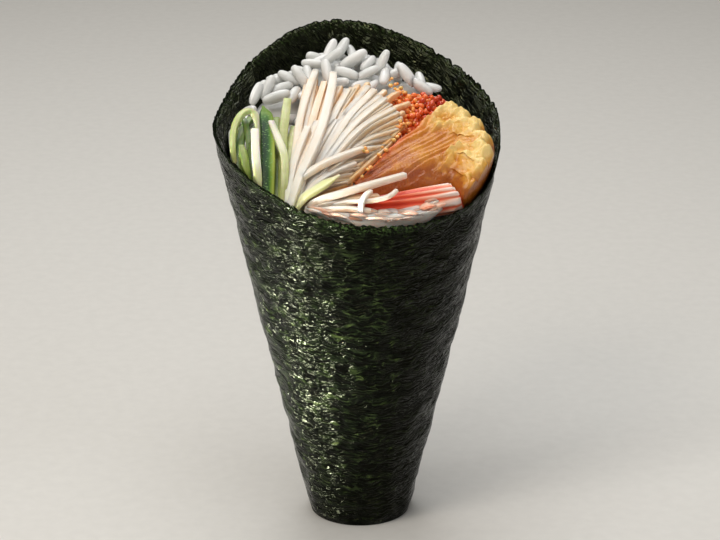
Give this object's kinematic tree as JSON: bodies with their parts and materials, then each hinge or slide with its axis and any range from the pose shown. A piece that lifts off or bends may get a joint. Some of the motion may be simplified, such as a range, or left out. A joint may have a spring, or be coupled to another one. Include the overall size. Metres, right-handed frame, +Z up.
{
  "type": "crab hand roll",
  "caption": "Hand roll: a cone of toasted seaweed on its flat folded foot, filled with rice, cucumber strips, fanned white shreds, fish roe, crab tempura and crab stick.",
  "frame": {"origin": "centre of the flat foot that it stands on", "axes": "+Z up along the cone's axis, -Y toward the low front edge of the slanted mouth, +X to the right when the filling is seen from the front"},
  "size_m": [0.0679, 0.069, 0.1128],
  "materials": {
    "nori": "crinkled toasted seaweed with a low sheen",
    "rice": "moist, glossy, slightly clear",
    "cucumber": "wet cut flesh with dark skin on some strips",
    "white_shreds": "moist fibrous cut faces",
    "roe": "wet and clear",
    "tempura": "crisp fried batter with an oily sheen",
    "crab_stick": "moist fibres, red outside and white within",
    "crab_flakes": "moist fine fibres"
  },
  "bodies": {
    "root": {"nori_wrap": "nori", "rice_heap": "rice", "cucumber_strips": "cucumber", "white_shreds": "white_shreds", "roe": "roe", "crab_tempura": "tempura", "crab_stick": "crab_stick", "crab_flakes": "crab_flakes"}
  },
  "joints": []
}
